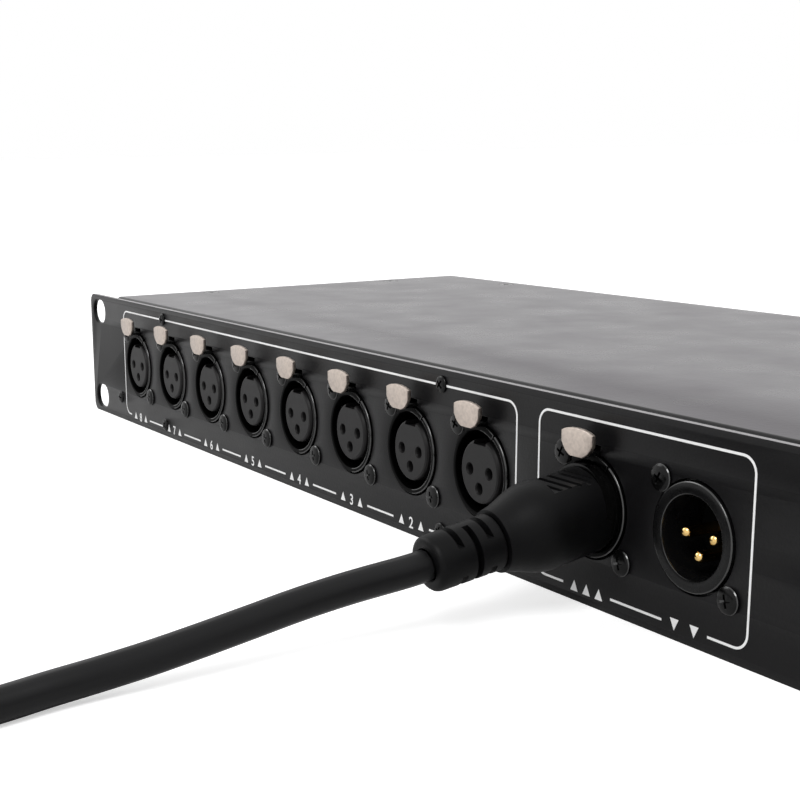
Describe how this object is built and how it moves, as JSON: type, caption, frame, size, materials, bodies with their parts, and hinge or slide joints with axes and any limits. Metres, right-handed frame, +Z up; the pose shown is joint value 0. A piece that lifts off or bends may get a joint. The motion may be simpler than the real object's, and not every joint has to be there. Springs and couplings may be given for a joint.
{
  "type": "dmx splitter",
  "caption": "Rack-mount DMX splitter in a flat black steel case, with latching round output sockets, a pin input socket and a moulded cable plugged in at the front.",
  "frame": {"origin": "under the middle of the case, level with its underside, the cable left out", "axes": "+X along the front panel from the outputs to the power switch, +Y from the front panel to the rear wall, +Z up"},
  "size_m": [0.4826, 0.377, 0.0442],
  "materials": {
    "black_paint": "fine satin powder coat",
    "black_plastic": "satin moulded",
    "nickel": "bright plated",
    "gold": "polished gold plate",
    "laminate": "solder mask over glass laminate",
    "core_steel": "varnished laminations",
    "heatsink_aluminium": "bare extruded",
    "wire_sleeve": "flexible insulation",
    "green_lens": "clear tinted",
    "red_lens": "glossy tinted",
    "fuse_glass": "clear tube with bright end caps",
    "soft_black": "matte soft moulding"
  },
  "bodies": {
    "splitter": {"front_panel": "black_paint", "chassis_tray": "black_paint", "top_cover": "black_paint", "output_8_housing": "black_plastic", "output_8_insert": "black_plastic", "output_7_housing": "black_plastic", "output_7_insert": "black_plastic", "output_6_housing": "black_plastic", "output_6_insert": "black_plastic", "output_5_housing": "black_plastic", "output_5_insert": "black_plastic", "output_4_housing": "black_plastic", "output_4_insert": "black_plastic", "output_3_housing": "black_plastic", "output_3_insert": "black_plastic", "output_2_housing": "black_plastic", "output_2_insert": "black_plastic", "output_1_housing": "black_plastic", "output_1_insert": "black_plastic", "through_housing": "black_plastic", "through_insert": "black_plastic", "input_housing": "black_plastic", "input_insulator": "black_plastic", "input_pin_1": "gold", "input_pin_2": "gold", "input_pin_3": "gold", "main_board": "laminate", "power_board": "laminate", "mains_transformer": "core_steel", "regulator_heatsink": "heatsink_aluminium", "link_ribbon": "wire_sleeve", "signal_lamp": "green_lens", "power_lamp": "red_lens", "power_switch_frame": "black_plastic", "mains_inlet": "black_plastic", "mains_wiring": "wire_sleeve", "plug_body": "soft_black", "plug_boot": "soft_black", "cable_run": "soft_black", "cable_coil": "soft_black", "coil_tie": "soft_black", "far_connector_boot": "soft_black", "far_connector_body": "soft_black", "far_connector_insert": "black_plastic"},
    "output_8_tab": {"output_8_push_tab": "nickel"},
    "output_7_tab": {"output_7_push_tab": "nickel"},
    "output_6_tab": {"output_6_push_tab": "nickel"},
    "output_5_tab": {"output_5_push_tab": "nickel"},
    "output_4_tab": {"output_4_push_tab": "nickel"},
    "output_3_tab": {"output_3_push_tab": "nickel"},
    "output_2_tab": {"output_2_push_tab": "nickel"},
    "output_1_tab": {"output_1_push_tab": "nickel"},
    "through_tab": {"through_push_tab": "nickel"},
    "rocker": {"power_rocker": "red_lens"},
    "fuse_carrier": {"fuse_drawer": "black_plastic", "glass_fuse": "fuse_glass"},
    "far_button": {"far_connector_button": "nickel"}
  },
  "joints": [
    {"name": "output_8_push", "type": "slide", "parent": "splitter", "child": "output_8_tab", "axis": [0, 0.6428, 0.766], "range_m": [0, 0.0012], "stiffness_N_per_m": 2000},
    {"name": "output_7_push", "type": "slide", "parent": "splitter", "child": "output_7_tab", "axis": [0, 0.6428, 0.766], "range_m": [0, 0.0012], "stiffness_N_per_m": 2000},
    {"name": "output_6_push", "type": "slide", "parent": "splitter", "child": "output_6_tab", "axis": [0, 0.6428, 0.766], "range_m": [0, 0.0012], "stiffness_N_per_m": 2000},
    {"name": "output_5_push", "type": "slide", "parent": "splitter", "child": "output_5_tab", "axis": [0, 0.6428, 0.766], "range_m": [0, 0.0012], "stiffness_N_per_m": 2000},
    {"name": "output_4_push", "type": "slide", "parent": "splitter", "child": "output_4_tab", "axis": [0, 0.6428, 0.766], "range_m": [0, 0.0012], "stiffness_N_per_m": 2000},
    {"name": "output_3_push", "type": "slide", "parent": "splitter", "child": "output_3_tab", "axis": [0, 0.6428, 0.766], "range_m": [0, 0.0012], "stiffness_N_per_m": 2000},
    {"name": "output_2_push", "type": "slide", "parent": "splitter", "child": "output_2_tab", "axis": [0, 0.6428, 0.766], "range_m": [0, 0.0012], "stiffness_N_per_m": 2000},
    {"name": "output_1_push", "type": "slide", "parent": "splitter", "child": "output_1_tab", "axis": [0, 0.6428, 0.766], "range_m": [0, 0.0012], "stiffness_N_per_m": 2000},
    {"name": "through_push", "type": "slide", "parent": "splitter", "child": "through_tab", "axis": [0, 0.6428, 0.766], "range_m": [0, 0.0012], "stiffness_N_per_m": 2000},
    {"name": "rocker_pivot", "type": "hinge", "parent": "splitter", "child": "rocker", "pos_m": [0.1887, -0.0722, 0.0219], "axis": [-1, 0, 0], "range_deg": [0, 18]},
    {"name": "fuse_drawer_slide", "type": "slide", "parent": "splitter", "child": "fuse_carrier", "axis": [0, 1, 0], "range_m": [0, 0.017]},
    {"name": "far_button_press", "type": "slide", "parent": "splitter", "child": "far_button", "axis": [0, 0, -1], "range_m": [0, 0.0012], "stiffness_N_per_m": 1500}
  ]
}
